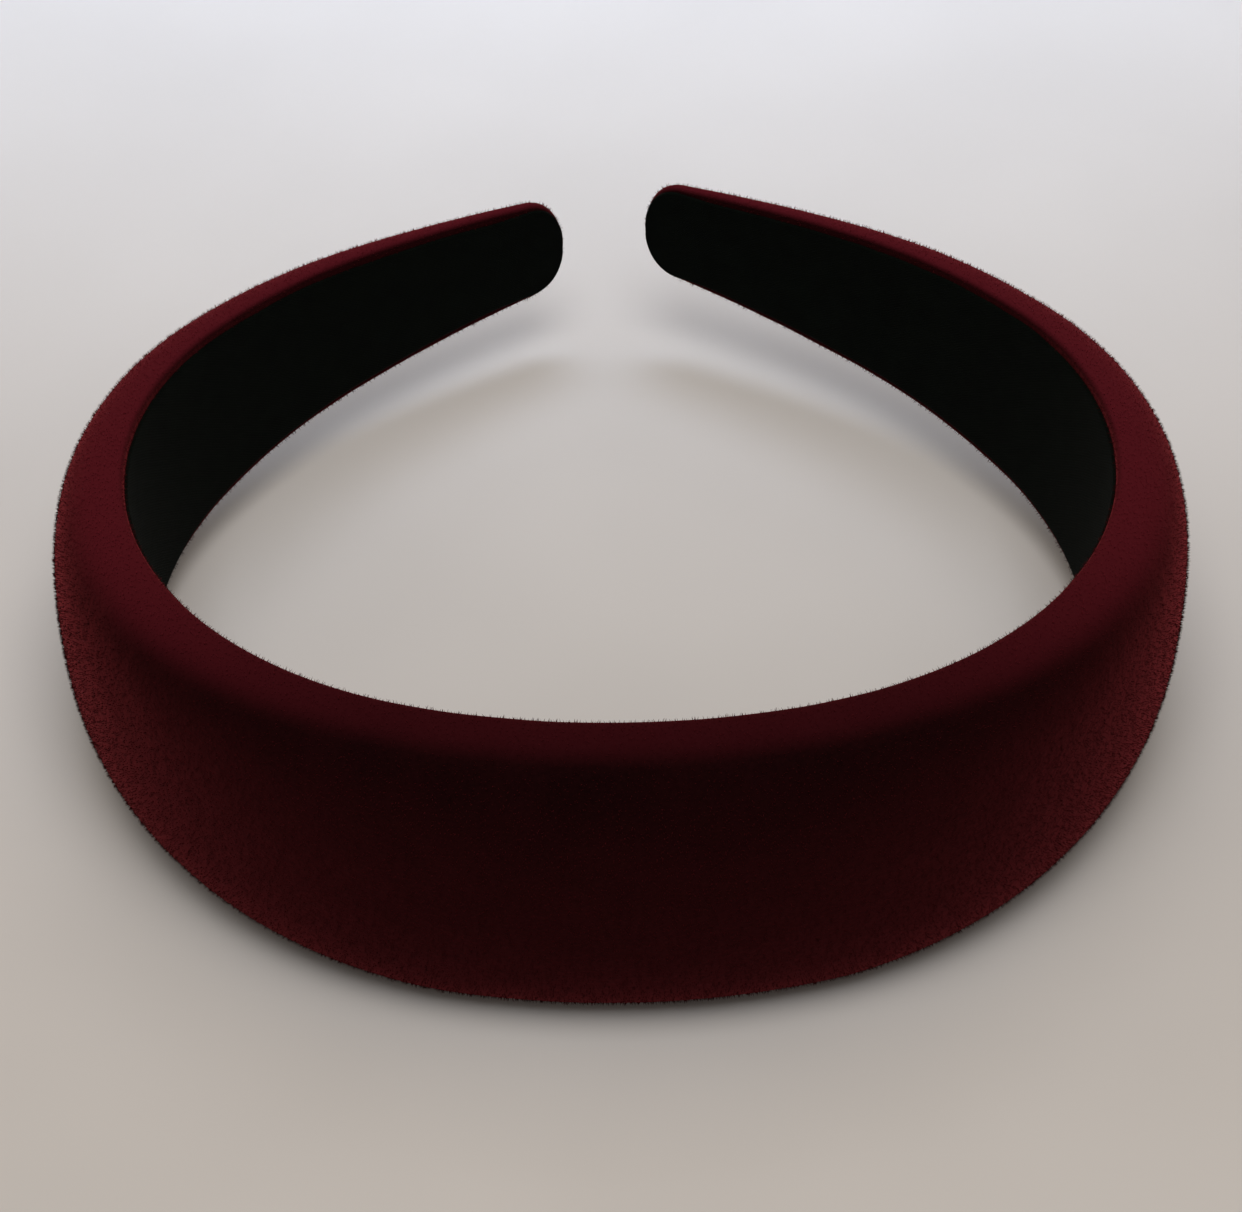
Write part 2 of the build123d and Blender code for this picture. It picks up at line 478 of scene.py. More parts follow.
@dataclass(frozen=True)
class PaintedTable(Finish):
    """A table top in pale matt lacquer, with a very faint roller texture."""

    name: str = "pale_matt_lacquer"
    light: str = "#d9d7d6"
    shade: str = "#d3d1d0"
    cloud: float = 60.0 * MM
    roller: float = 2.0 * MM
    roller_depth: float = 0.01 * MM

    def dress(self, tree: bpy.types.NodeTree) -> dict[str, Any]:
        """Vary the lacquer slightly.

        Args:
            tree: The material's node tree.

        Returns:
            What feeds each input of the shader.
        """
        stipple = self.mottle(tree, self.roller)
        clouds = {"Value": self.mottle(tree, self.cloud), **SOFT}
        colours = {
            "Factor_Float": add(tree, "ShaderNodeMapRange", clouds),
            "A_Color": linear(self.light),
            "B_Color": linear(self.shade),
        }
        dull = {"Value": stipple, **SOFT, "To Min": 0.75, "To Max": 0.85}
        relief = {"Height": stipple, "Distance": self.roller_depth}
        return {
            "Base Color": add(tree, "ShaderNodeMix", colours, "Result_Color", data_type="RGBA"),
            "Roughness": add(tree, "ShaderNodeMapRange", dull),
            "Normal": add(tree, "ShaderNodeBump", relief),
            "Specular IOR Level": 0.3,
        }


# --- the strip's form ----------------------------------------------------------------------
@dataclass(frozen=True)
class StripForm:
    """The bent strip from the middle of the crown to a tip, at its outer faces."""

    crown_y: float  # head-side face in the middle of the crown
    middle_z: float  # half-way up the strip at the crown
    arcs: tuple[tuple[float, float], ...] = (  # radius, and turn in degrees
        (93.0 * MM, 13.0),
        (55.0 * MM, 109.6),
        (92.0 * MM, 18.0),
        (209.0 * MM, 10.0),
    )
    crown_half_height: float = 22.6 * MM
    tip_half_height: float = 8.0 * MM
    height_taper: tuple[float, float] = (0.12, 1.3)  # where it starts, and its power
    crown_thickness: float = 11.3 * MM
    tip_thickness: float = 2.7 * MM
    thickness_taper: tuple[float, float] = (0.40, 1.6)
    tip_rounding: float = 6.7 * MM
    fullness: float = 0.73  # of the domed face
    tip_fullness: float = 0.60
    left_droop: float = 3.9 * MM  # the left arm has settled a little lower
    right_droop: float = 1.0 * MM
    station_spacing: float = 1.5 * MM
    tip_stations: int = 18
    least_half: float = 0.12 * MM  # at the very end of a tip

    @classmethod
    def in_frame(cls) -> "StripForm":
        """Place the form by the CAD crown.

        Returns:
            The form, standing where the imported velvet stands.
        """
        low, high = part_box("crown_velvet_cover")
        return cls(low.y + cls.crown_thickness, high.z - cls.crown_half_height)

    @property
    def length(self) -> float:
        """Distance from the middle of the crown to a tip, along the head-side face."""
        return sum(radius * radians(turn) for radius, turn in self.arcs)

    def plan(self, along: np.ndarray) -> tuple[np.ndarray, np.ndarray, np.ndarray]:
        """Follow the head-side face in plan.

        Args:
            along: Distances from the middle of the crown.

        Returns:
            How far out to the side, how far back, and the heading, for each distance.
        """
        left = np.array(along, float)
        x, y, heading = np.zeros_like(left), np.zeros_like(left), np.zeros_like(left)
        for radius, turn in self.arcs:
            step = np.minimum(left / radius, radians(turn))
            x += radius * (np.sin(heading + step) - np.sin(heading))
            y -= radius * (np.cos(heading + step) - np.cos(heading))
            heading += step
            left -= radius * step
        return x, y, heading

    def place(
        self, side: Side, along: np.ndarray, up: np.ndarray, out: np.ndarray
    ) -> np.ndarray:
        """Put points of the flat strip where they are on the bent one.

        Args:
            side: Which half.
            along: Distance from the middle of the crown.
            up: Height over the middle of the strip.
            out: Distance outwards from the head-side face.

        Returns:
            Points in the frame, in an array with one more axis.
        """
        x, y, heading = self.plan(along)
        droop = self.left_droop if side is Side.LEFT else self.right_droop
        sunk = droop * (along / self.length) ** 2
        points = [
            side.value * (x + out * np.sin(heading)),
            self.crown_y + y - out * np.cos(heading),
            np.maximum(self.middle_z - sunk + up, 0.0),  # pressed flat where it stands
        ]
        return np.stack(points, -1)

    def taper(
        self, crown: float, tip: float, rule: tuple[float, float], along: np.ndarray
    ) -> np.ndarray:
        """A size that stays full near the crown and then falls to its value at the tip.

        Args:
            crown: The size at the crown.
            tip: The size at the tip.
            rule: The share of the length where the fall starts, and its power.
            along: Distances from the middle of the crown.

        Returns:
            The size at each distance.
        """
        start, power = rule
        run = np.clip((along / self.length - start) / (1.0 - start), 0.0, 1.0)
        return tip + (crown - tip) * (1.0 - run**power)

    def half_height(self, along: np.ndarray) -> np.ndarray:
        """Half of the strip's width at each distance."""
        return self.taper(self.crown_half_height, self.tip_half_height, self.height_taper, along)

    def thickness(self, along: np.ndarray) -> np.ndarray:
        """The strip's whole thickness at each distance."""
        return self.taper(self.crown_thickness, self.tip_thickness, self.thickness_taper, along)

    @staticmethod
    def quarter(count: int, fullness: float) -> tuple[np.ndarray, np.ndarray]:
        """One quarter of the squarish arch that the dome and the tips share.

        Args:
            count: How many points.
            fullness: How square it is. A circle's is 0.55.

        Returns:
            Its breadth, falling from 1 to 0, and its rise, growing from 0 to 1.
        """
        t = np.linspace(0.0, 1.0, count)
        foot, crest = 3 * (1 - t) ** 2 * t, 3 * (1 - t) * t**2
        breadth = (1 - t) ** 3 + foot + fullness * crest
        rise = fullness * foot + crest + t**3
        return breadth, rise

    def evenly(self, end: float) -> np.ndarray:
        """Even distances from the middle of the crown up to an end."""
        return np.linspace(0.0, end, round(end / self.station_spacing) + 1)

    def stations(self, inset: float) -> tuple[np.ndarray, np.ndarray]:
        """Distances at which a layer that runs out to the tip is drawn.

        Args:
            inset: How far the layer stays inside the velvet's outline at the tip.

        Returns:
            The distances, and half of the layer's width at each.
        """
        start = self.length - self.tip_rounding
        body = self.evenly(start)
        breadth, rise = self.quarter(self.tip_stations + 1, self.tip_fullness)
        round_end = start + (self.tip_rounding - inset) * rise[1:]
        half = self.half_height(np.array([start])) - inset
        halves = np.concatenate([self.half_height(body) - inset, half * breadth[1:]])
        return np.concatenate([body, round_end]), np.maximum(halves, self.least_half)


@dataclass
class Skin:
    """One face of a layer, as a grid: a row for each station, from the upper edge down."""

    along: np.ndarray
    up: np.ndarray
    out: np.ndarray

    @classmethod
    def grid(cls, stations: np.ndarray, up: np.ndarray, out: np.ndarray | float) -> "Skin":
        """Lay a face out on a grid.

        Args:
            stations: Each row's distance along the strip.
            up: Heights over the middle of the strip.
            out: Distances outwards from the head-side face, or one for all or for each row.

        Returns:
            The face, with all three sizes for every point.
        """
        return cls(*np.broadcast_arrays(stations[:, None], up, out))

    def points(self, form: StripForm, side: Side) -> np.ndarray:
        """The grid on the bent strip, as rows of points in the frame."""
        return form.place(side, self.along, self.up, self.out)


def eased(value: np.ndarray) -> np.ndarray:
    """Turn a straight run from 0 to 1 into a smooth one."""
    held = np.clip(value, 0.0, 1.0)
    return held * held * (3.0 - 2.0 * held)


def rolled(distance: np.ndarray, reach: float) -> np.ndarray:
    """How full a rounded edge is, that distance inside it.

    Args:
        distance: Distance from the edge.
        reach: Radius of the rounding.

    Returns:
        A share that grows from 0 at the edge to 1, as a quarter circle does.
    """
    return np.sqrt(1.0 - (1.0 - np.clip(distance / reach, 0.0, 1.0)) ** 2)


def ripple(points: np.ndarray, size: float, seed: float) -> np.ndarray:
    """Smooth random unevenness, the same wherever two pieces meet.

    Args:
        points: Points in the frame.
        size: Distance over which it changes.
        seed: Shifts the pattern.

    Returns:
        A value from about -1 to 1 for each point.
    """
    shift = Vector((seed, -seed, 2.0 * seed))
    values = [noise.noise(Vector(p) / size + shift) for p in points.reshape(-1, 3)]
    return np.array(values).reshape(points.shape[:-1])


# --- the layers ------------------------------------------------------------------------------
@dataclass
class Layer(ABC):
    """A layer of the band: two skins over the strip's form, in a left and a right half."""

    form: StripForm
    finish: Finish
    node: str
    slot: str
    columns: int = 24  # across the strip
    bend_start: float = 4.0  # plan heading where the bend line starts, in degrees
    bend_end: float = 84.0
    least_half: float = 0.1 * MM  # of a layer's width, at the very end of a tip

    @abstractmethod
    def skins(self) -> tuple[Skin, Skin]:
        """Draw the layer.

        Returns:
            The face away from the head and the face towards it, on matching grids.
        """

    def across(self, half: np.ndarray) -> np.ndarray:
        """Heights over the strip's middle, from the upper edge down, closer near the edges."""
        return half[:, None] * np.cos(np.linspace(0.0, np.pi, self.columns + 1))

    def piece_name(self, side: Side) -> str:
        """What this half is called."""
        return f"{self.node}_{side.name.lower()}"

    def settle(self, outer: np.ndarray, inner: np.ndarray) -> None:
        """Make a finished half less perfect. Most layers are left as they are."""

    def build(self, side: Side) -> bpy.types.Object:
        """Make one half as a closed mesh with a cloth map in millimetres.

        Args:
            side: Which half.

        Returns:
            The new piece, at the origin.
        """
        faces = self.skins()
        outer, inner = (skin.points(self.form, side) for skin in faces)
        self.settle(outer, inner)
        rings = np.concatenate([outer, inner[:, ::-1]], 1)
        along = np.concatenate([faces[0].along, faces[1].along[:, ::-1]], 1) * side.value
        piece = closed_sweep(self.piece_name(side), rings, along)
        self.dress(piece)
        return piece

    def dress(self, piece: bpy.types.Object) -> None:
        """Give a half its finish."""
        piece.data.materials.append(self.finish.material())

    def bend_line(self, side: Side) -> tuple[Vector, Vector]:
        """Where this half leaves the crown, and where it is all arm.

        Args:
            side: Which half.

        Returns:
            A start and an end point on the head-side face.
        """
        headings = np.radians([self.bend_start, self.bend_end])
        along = np.linspace(0.0, self.form.length, 2000)
        at = np.interp(headings, self.form.plan(along)[2], along)
        start, end = self.form.place(side, at, np.zeros(2), np.zeros(2))
        middle = (start[2] + end[2]) / 2
        return Vector((start[0], start[1], middle)), Vector((end[0], end[1], middle))

    def fit(self, piece: bpy.types.Object, side: Side) -> None:
        """Bake a half's placement into its mesh, and hide the CAD layers that it stands in for.

        Args:
            piece: The half, with its final mesh.
            side: Which half it is.
        """
        start, end = self.bend_line(side)
        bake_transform(piece)
        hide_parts(f"crown_{self.node}", f"{side.arm}_{self.node}")

    def declare(self, piece: bpy.types.Object) -> None:
        """Leave a finished half as it is."""

    def make(self) -> list[bpy.types.Object]:
        """Build and fit both halves.

        Returns:
            The left half and the right half.
        """
        made = []
        for side in Side:
            piece = self.build(side)
            self.fit(piece, side)
            self.declare(piece)
            log.info("%s: %d faces", piece.name, len(piece.data.polygons))
            made.append(piece)
        return made

    def flat_cut(self) -> tuple[float, float, float]:
        """Measure the layer's cloth as it was cut.

        Returns:
            The widest width, the length and the area of one half.
        """
        outer, inner = self.skins()
        up, out = (outer.up + inner.up) / 2, (outer.out + inner.out) / 2
        girth = np.hypot(np.diff(up), np.diff(out)).sum(1)
        along = outer.along[:, 0]
        area = float(np.sum((girth[1:] + girth[:-1]) / 2 * np.diff(along)))
        return float(girth.max()), float(along[-1]), area


def closed_sweep(name: str, rings: np.ndarray, along: np.ndarray) -> bpy.types.Object:
    """Join rings of points into one closed mesh.

    Args:
        name: The piece's name.
        rings: Points, as one closed ring for each station. Each ring runs down one skin
            and back up the other, so that its first half mirrors its second.
        along: The distance along the strip of every point.

    Returns:
        A smooth piece with its faces outwards and a map named cloth, in millimetres.
    """
    stations, count, _ = rings.shape
    steps = np.linalg.norm(np.roll(rings, -1, 1) - rings, axis=2)
    around = np.concatenate([np.zeros((stations, 1)), np.cumsum(steps, 1)], 1)
    quads, cloth = [], []
    for i in range(stations - 1):
        for j in range(count):
            k = (j + 1) % count
            quads.append([i * count + j, i * count + k, (i + 1) * count + k, (i + 1) * count + j])
            cloth += [
                (along[i, j], around[i, j]),
                (along[i, k], around[i, j + 1]),
                (along[i + 1, k], around[i + 1, j + 1]),
                (along[i + 1, j], around[i + 1, j]),
            ]
    for i in (0, stations - 1):
        for j in range(count // 2 - 1):
            rung = [j, j + 1, count - 2 - j, count - 1 - j]
            quads.append([i * count + r for r in rung])
            cloth += [(along[i, r], around[i, r]) for r in rung]
    mesh = bpy.data.meshes.new(name)
    mesh.from_pydata(rings.reshape(-1, 3).tolist(), [], quads)
    layer = mesh.uv_layers.new(name="cloth")
    layer.data.foreach_set("uv", (np.array(cloth) / MM).astype(np.float32).ravel())
    body = bmesh.new()
    body.from_mesh(mesh)
    bmesh.ops.recalc_face_normals(body, faces=body.faces)
    end_faces = set(list(body.faces)[-(count - 2) :])
    for face in body.faces:
        face.smooth = True
    for edge in body.edges:
        inside = sum(face in end_faces for face in edge.link_faces)
        edge.smooth = inside != 1
    body.to_mesh(mesh)
    body.free()
    return put(name, mesh)


@dataclass(frozen=True)
class PileFan:
    """Painted highlight along the velvet's long edges, lighter where the face tilts up or down.

    It starts lower on the faces of the narrow arms than on the crown, and is stronger there.
    """

    taut_from: float = 0.14  # the share of the length where the arms' wider, stronger painted highlight starts
    taut_over: float = 0.3
    slack_rise: float = 0.7  # how far up a face tilts before the painted highlight starts, on the crown
    taut_rise: float = 0.35
    slack_share: float = 0.35  # strength of the painted highlight on the crown
    low_rise: float = 0.7  # the same two for the lower edge
    low_share: float = 0.3

    def store(self, mesh: bpy.types.Mesh, run: np.ndarray) -> None:
        """Store the painted edge highlight, from 0 to 1, at every point.

        Args:
            mesh: The velvet, in rings of points.
            run: How far along the strip each ring is, from 0 to 1.
        """
        normals = np.empty(len(mesh.vertices) * 3, np.float32)
        mesh.vertices.foreach_get("normal", normals)
        rise = normals[2::3].reshape(len(run), -1)
        rise[0] = rise[1]  # the halves meet here without an edge
        # from 0 on the crown to 1 on the arms, where the painted highlight is wider and stronger
        drawn = eased((run - self.taut_from) / self.taut_over)[:, None]
        start = self.slack_rise + (self.taut_rise - self.slack_rise) * drawn
        share = self.slack_share + (1.0 - self.slack_share) * drawn
        # painted highlight on faces that tilt up, and a weaker one on faces that tilt down
        upper = share * eased((rise - start) / (1.0 - start))
        lower = self.low_share * eased((-self.low_rise - rise) / (1.0 - self.low_rise))
        values = mesh.attributes.new(PAINTED_EDGE_HIGHLIGHT, "FLOAT", "POINT").data
        values.foreach_set("value", (upper + lower).astype(np.float32).ravel())


@dataclass
class VelvetCover(Layer):
    """The velvet: drawn over the pad, rolled round both long edges and turned in."""

    hem_face: float = 0.45 * MM
    hem_thickness: float = 0.55 * MM
    hem_width: float = 6.0 * MM
    tip_hem: float = 9.0 * MM  # the velvet covers the tips all over, this far in
    tip_closing: float = 3.0 * MM  # the run over which the two hems meet
    hem_gap: float = 0.02 * MM
    cloth_thickness: float = 0.8 * MM
    pile_depth: float = 0.25 * MM  # of that thickness, the part that is open pile
    roll: float = 0.9 * MM
    back_roll: float = 0.25 * MM
    soft_end: float = 1.3 * MM
    dome_points: int = 24
    roll_points: int = 5
    hem_points: int = 5
    unevenness: float = 0.14 * MM
    swells: tuple[tuple[float, float, float], ...] = (  # size, share of it, and seed
        (24.0 * MM, 1.0, 3.1),
        (7.0 * MM, 0.35, 8.7),
    )
    # the painted highlight along the long edges
    fan: PileFan = field(default_factory=PileFan)

    def outline(
        self, stations: np.ndarray, half: np.ndarray, inset: float, hem: np.ndarray
    ) -> Skin:
        """Draw one face of the cloth from hem to hem, round the dome.

        Args:
            stations: Distances along the strip.
            half: Half of the face's width at each.
            inset: The pile's depth for the pile side, the cloth's thickness for its back.
            hem: Where the cloth ends on the head side, as a height at each station.

        Returns:
            The face as a grid.
        """
        back = inset > self.pile_depth
        base = self.hem_face + (self.hem_thickness if back else 0.0)
        end = self.form.length - inset - stations
        full = self.form.thickness(stations) - inset
        top = base + (full - base) * rolled(end, self.soft_end)
        roll = np.minimum(self.back_roll if back else self.roll, 0.45 * half)
        rise_room = np.minimum(roll, 0.5 * (top - base))
        turn = np.linspace(0.0, np.pi / 2, self.roll_points)
        flat = half - roll
        to_hem = np.linspace(0.0, 1.0, self.hem_points)[:-1]
        hem_up = hem[:, None] + (flat - hem)[:, None] * to_hem
        hem_out = np.broadcast_to(base, hem_up.shape)
        roll_up = flat[:, None] + roll[:, None] * np.sin(turn)
        roll_out = base + rise_room[:, None] * (1.0 - np.cos(turn))
        breadth, rise = self.form.quarter(self.dome_points, self.form.fullness)
        dome_up = half[:, None] * breadth[1:]
        spring = (base + rise_room)[:, None]
        dome_out = spring + (top[:, None] - spring) * rise[1:]
        up = np.concatenate([hem_up, roll_up, dome_up], 1)
        out = np.concatenate([hem_out, roll_out, dome_out], 1)
        up = np.concatenate([up, -up[:, -2::-1]], 1)
        out = np.concatenate([out, out[:, -2::-1]], 1)
        return Skin.grid(stations, up, out)

    def hem_edge(self, stations: np.ndarray, half: np.ndarray, inset: float) -> np.ndarray:
        """Where the turned-in cloth ends: a set width in, and closed up round the tip.

        Args:
            stations: Distances along the strip.
            half: Half of the face's width at each.
            inset: How far inside the velvet's outline the face is.

        Returns:
            The edge's height at each distance.
        """
        run = (stations - (self.form.length - self.tip_hem)) / self.tip_closing
        open_edge = half + inset - self.hem_width
        edge = np.maximum(open_edge * (1.0 - eased(run + 1.0)), self.hem_gap)
        return np.minimum(edge, 0.5 * half)

    def skins(self) -> tuple[Skin, Skin]:
        """Draw both faces of the cloth.

        Returns:
            The pile side and the back.
        """
        faces = []
        for inset in (self.pile_depth, self.cloth_thickness):
            stations, half = self.form.stations(inset)
            hem = self.hem_edge(stations, half, inset)
            faces.append(self.outline(stations, half, inset, hem))
        return faces[0], faces[1]

    def settle(self, outer: np.ndarray, inner: np.ndarray) -> None:
        """Let the padding show through as very slight hollows and swells.

        Args:
            outer: Points of the pile side, which are moved.
            inner: Points of the back.
        """
        for size, share, seed in self.swells:
            swell = self.unevenness * share * ripple(outer, size, seed)
            away = outer - outer.mean(1, keepdims=True)
            away /= np.maximum(np.linalg.norm(away, axis=2, keepdims=True), 1e-6)
            outer += away * swell[..., None]
        outer[..., 2] = np.maximum(outer[..., 2], 0.0)

    def dress(self, piece: bpy.types.Object) -> None:
        """Store the painted highlight along the long edges, and give the velvet its finish."""
        self.fan.store(piece.data, self.form.stations(self.pile_depth)[0] / self.form.length)
        super().dress(piece)

    def declare(self, piece: bpy.types.Object) -> None:
        """Measure the cloth as it was cut: a sheet stretched over the pad, with the pile on it.
        The sizes are not used.

        Args:
            piece: One half of the cover. It is not used.
        """
        width, length, area = self.flat_cut()

    def make(self) -> list[bpy.types.Object]:
        """Build both halves of the cover and the pile that stands on them.

        Returns:
            Each half, followed by its pile.
        """
        made = []
        for side in Side:
            piece = self.build(side)
            pile = VelvetPile(cover=self).grow(side)
            self.fit(piece, side)
            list(self.bend_line(side))
            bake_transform(pile)
            self.declare(piece)
            for each in (piece, pile):
                log.info("%s: %d faces", each.name, len(each.data.polygons))
            made += [piece, pile]
        return made


@dataclass
class VelvetPile:
    """The pile's fibres: short, leaning a little, and standing off wherever cloth turns."""

    cover: VelvetCover
    finish: PileFibre = field(default_factory=PileFibre)
    length: float = 0.48 * MM
    width: float = 0.10 * MM
    per_square_metre: float = 4.7e6  # real pile is 30 times as dense, and 4 times as fine
    length_spread: tuple[float, float] = (0.55, 1.15)  # the shortest and the longest fibre
    nap: tuple[float, float, float] = (0.0, 0.0, 0.18)
    scatter: float = 0.5
    seed: int = 11
    bare_hem: float = 0.25 * MM  # how far the pile runs in under the lining's edge

    def tree(self) -> bpy.types.GeometryNodeTree:
        """Make the tree that scatters fibres over a surface.

        Returns:
            A tree with a named input for each size.
        """
        tree = bpy.data.node_groups.new("velvet_pile", "GeometryNodeTree")
        inputs = {
            "Ground": "NodeSocketGeometry",
            "Fibres per square metre": "NodeSocketFloat",
            "Fibre length": "NodeSocketFloat",
            "Fibre width": "NodeSocketFloat",
            "Nap": "NodeSocketVector",
            "Scatter": "NodeSocketVector",
            "Seed": "NodeSocketInt",
        }
        for name, kind in inputs.items():
            tree.interface.new_socket(name, in_out="INPUT", socket_type=kind)
        tree.interface.new_socket("Pile", in_out="OUTPUT", socket_type="NodeSocketGeometry")
        given = add(tree, "NodeGroupInput").node.outputs
        seed = given["Seed"]
        sown = {"Mesh": given["Ground"], "Density": given["Fibres per square metre"], "Seed": seed}
        roots = add(tree, "GeometryNodeDistributePointsOnFaces", sown).node.outputs
        cone = {
            "Vertices": 3,
            "Side Segments": 1,
            "Fill Segments": 1,
            "Radius Top": 0.0,
            "Radius Bottom": given["Fibre width"],
            "Depth": given["Fibre length"],
        }
        back = {"Vector": given["Scatter"], "Scale": -1.0}
        stray = {
            "Min": add(tree, "ShaderNodeVectorMath", back, operation="SCALE"),
            "Max": given["Scatter"],
            "Seed": seed,
        }
        leaning = {0: roots["Normal"], 1: given["Nap"]}
        heading = {
            0: add(tree, "ShaderNodeVectorMath", leaning, operation="ADD"),
            1: add(tree, "FunctionNodeRandomValue", stray, "Value", data_type="FLOAT_VECTOR"),
        }
        turned = {"Vector": add(tree, "ShaderNodeVectorMath", heading, operation="ADD")}
        shortest, longest = self.length_spread
        sizes = {"Min_001": shortest, "Max_001": longest, "Seed": seed}
        standing = {
            "Points": roots["Points"],
            "Instance": add(tree, "GeometryNodeMeshCone", cone, fill_type="NGON"),
            "Rotation": add(tree, "FunctionNodeAlignRotationToVector", turned, axis="Z"),
            "Scale": add(tree, "FunctionNodeRandomValue", sizes, "Value_001", data_type="FLOAT"),
        }
        tones = {"Min_001": 0.0, "Max_001": 1.0, "Seed": seed}
        shaded = {
            "Geometry": add(tree, "GeometryNodeInstanceOnPoints", standing),
            "Name": self.finish.shade,
            "Value": add(tree, "FunctionNodeRandomValue", tones, "Value_001", data_type="FLOAT"),
        }
        fibres = add(tree, "GeometryNodeStoreNamedAttribute", shaded, domain="INSTANCE")
        real = add(tree, "GeometryNodeRealizeInstances", {"Geometry": fibres})
        dyed = {"Geometry": real, "Material": self.finish.material()}
        add(tree, "NodeGroupOutput", {"Pile": add(tree, "GeometryNodeSetMaterial", dyed)})
        return tree

    def ground(self, side: Side) -> bpy.types.Object:
        """Draw the surface the pile grows from: all of the velvet that shows.

        Args:
            side: Which half.

        Returns:
            An open sheet with its faces away from the padding.
        """
        cover = self.cover
        stations, half = cover.form.stations(cover.pile_depth)
        gap = WovenLiningLayer.gap_at(cover.form, stations)
        hem = np.maximum(half - gap - self.bare_hem, 0.1 * half)
        skin = cover.outline(stations, half, cover.pile_depth, hem)
        grid = skin.points(cover.form, side)
        cover.settle(grid, grid)
        rows, count, _ = grid.shape
        turn = int(side.value)  # the two halves mirror each other, so their faces run opposite
        quads = []
        for i in range(rows - 1):
            for a in range(i * count, (i + 1) * count - 1):
                quads.append([a, a + 1, a + count + 1, a + count][::turn])
        mesh = bpy.data.meshes.new("pile_ground")
        mesh.from_pydata(grid.reshape(-1, 3).tolist(), [], quads)
        mesh.shade_smooth()
        # the same painted edge highlight, which the fibres take up
        cover.fan.store(mesh, stations / cover.form.length)
        return put(mesh.name, mesh)

    def grow(self, side: Side) -> bpy.types.Object:
        """Scatter the fibres over one half and make them a plain mesh.

        Args:
            side: Which half.

        Returns:
            The pile as its own piece, at the origin.
        """
        ground = self.ground(side)
        tree = bpy.data.node_groups.get("velvet_pile") or self.tree()
        values = {
            "Fibres per square metre": self.per_square_metre,
            "Fibre length": self.length,
            "Fibre width": self.width / 2,
            "Nap": self.nap,
            "Scatter": (self.scatter,) * 3,
            "Seed": self.seed,
        }
        modifier = ground.modifiers.new("pile", "NODES")
        modifier.node_group = tree
        for item in tree.interface.items_tree:
            if item.name in values:
                modifier[item.identifier] = values[item.name]
        grown = ground.evaluated_get(bpy.context.evaluated_depsgraph_get())
        mesh = bpy.data.meshes.new_from_object(grown)
        bpy.data.objects.remove(ground)
        points = np.empty(len(mesh.vertices) * 3, np.float32)
        mesh.vertices.foreach_get("co", points)
        points[2::3] = np.maximum(points[2::3], 0.0)  # fibres below lie pressed on the table
        mesh.vertices.foreach_set("co", points)
        mesh.shade_smooth()
        mesh.name = f"velvet_pile_{side.name.lower()}"
        return put(mesh.name, mesh)


@dataclass
class WovenLiningLayer(Layer):
    """The lining: thin woven cloth, bonded flat over the turned-in velvet."""

    thickness: float = 0.4 * MM
    tip_gap: float = 0.4 * MM  # velvet left showing beyond the lining, round a tip
    side_gap: float = 1.6 * MM
    gap_run: float = 12.0 * MM  # how far before a tip the gap starts to narrow
    edge_roll: float = 0.3 * MM
    cut_wander: float = 0.16 * MM
    wander_size: float = 6.0 * MM
    wander_seed: float = 5.3

    @classmethod
    def gap_at(cls, form: StripForm, stations: np.ndarray) -> np.ndarray:
        """Velvet left showing beyond the lining's long edge, at each distance."""
        run = np.clip((form.length - stations) / cls.gap_run, 0.0, 1.0)
        return cls.tip_gap + (cls.side_gap - cls.tip_gap) * run

    def skins(self) -> tuple[Skin, Skin]:
        """Draw the bonded face, and the head-side face with its edges eased.

        Returns:
            The bonded face and the head-side face.
        """
        stations, half = self.form.stations(self.tip_gap)
        half = half - (self.gap_at(self.form, stations) - self.tip_gap)
        half = np.maximum(half, self.least_half)
        up = self.across(half)
        to_end = (self.form.length - self.tip_gap) - stations[:, None]
        edge = np.minimum(half[:, None] - np.abs(up), to_end)
        worn = self.thickness * (1.0 - rolled(edge, self.edge_roll))
        return Skin.grid(stations, up, self.thickness), Skin.grid(stations, up, worn)

    def settle(self, outer: np.ndarray, inner: np.ndarray) -> None:
        """Let the cut edge wander, as scissors leave it.

        Args:
            outer: Points of the bonded face, which are moved.
            inner: Points of the head-side face, which are moved with them.
        """
        wander = self.cut_wander * ripple(inner, self.wander_size, self.wander_seed)
        edge = np.linspace(1.0, -1.0, inner.shape[1]) ** 5
        for face in (outer, inner):
            face[..., 2] += wander * edge

    def declare(self, piece: bpy.types.Object) -> None:
        """Measure the cloth as it was cut: a sheet stretched flat on the band. The sizes are not
        used.

        Args:
            piece: One half of the lining. It is not used.
        """
        width, length, area = self.flat_cut()


@dataclass
class LiningTape(Layer):
    """The tape that bonds the lining, in the gap between the two hems."""

    low: float = 0.45 * MM
    high: float = 1.0 * MM
    hem_width: float = 6.05 * MM
    tip_hem: float = 9.05 * MM
    tip_closing: float = 3.0 * MM
    tip_share: float = 0.1  # of its width, left where the hems have closed up

    def skins(self) -> tuple[Skin, Skin]:
        """Draw two flat faces that fill the gap.

        Returns:
            The face on the core and the face on the lining.
        """
        end = self.form.length - self.tip_hem
        stations = self.form.evenly(end)
        closing = eased((stations - end) / self.tip_closing + 1.0)
        half = self.form.half_height(stations) - self.hem_width
        up = self.across(half * (1.0 - (1.0 - self.tip_share) * closing))
        return Skin.grid(stations, up, self.high), Skin.grid(stations, up, self.low)


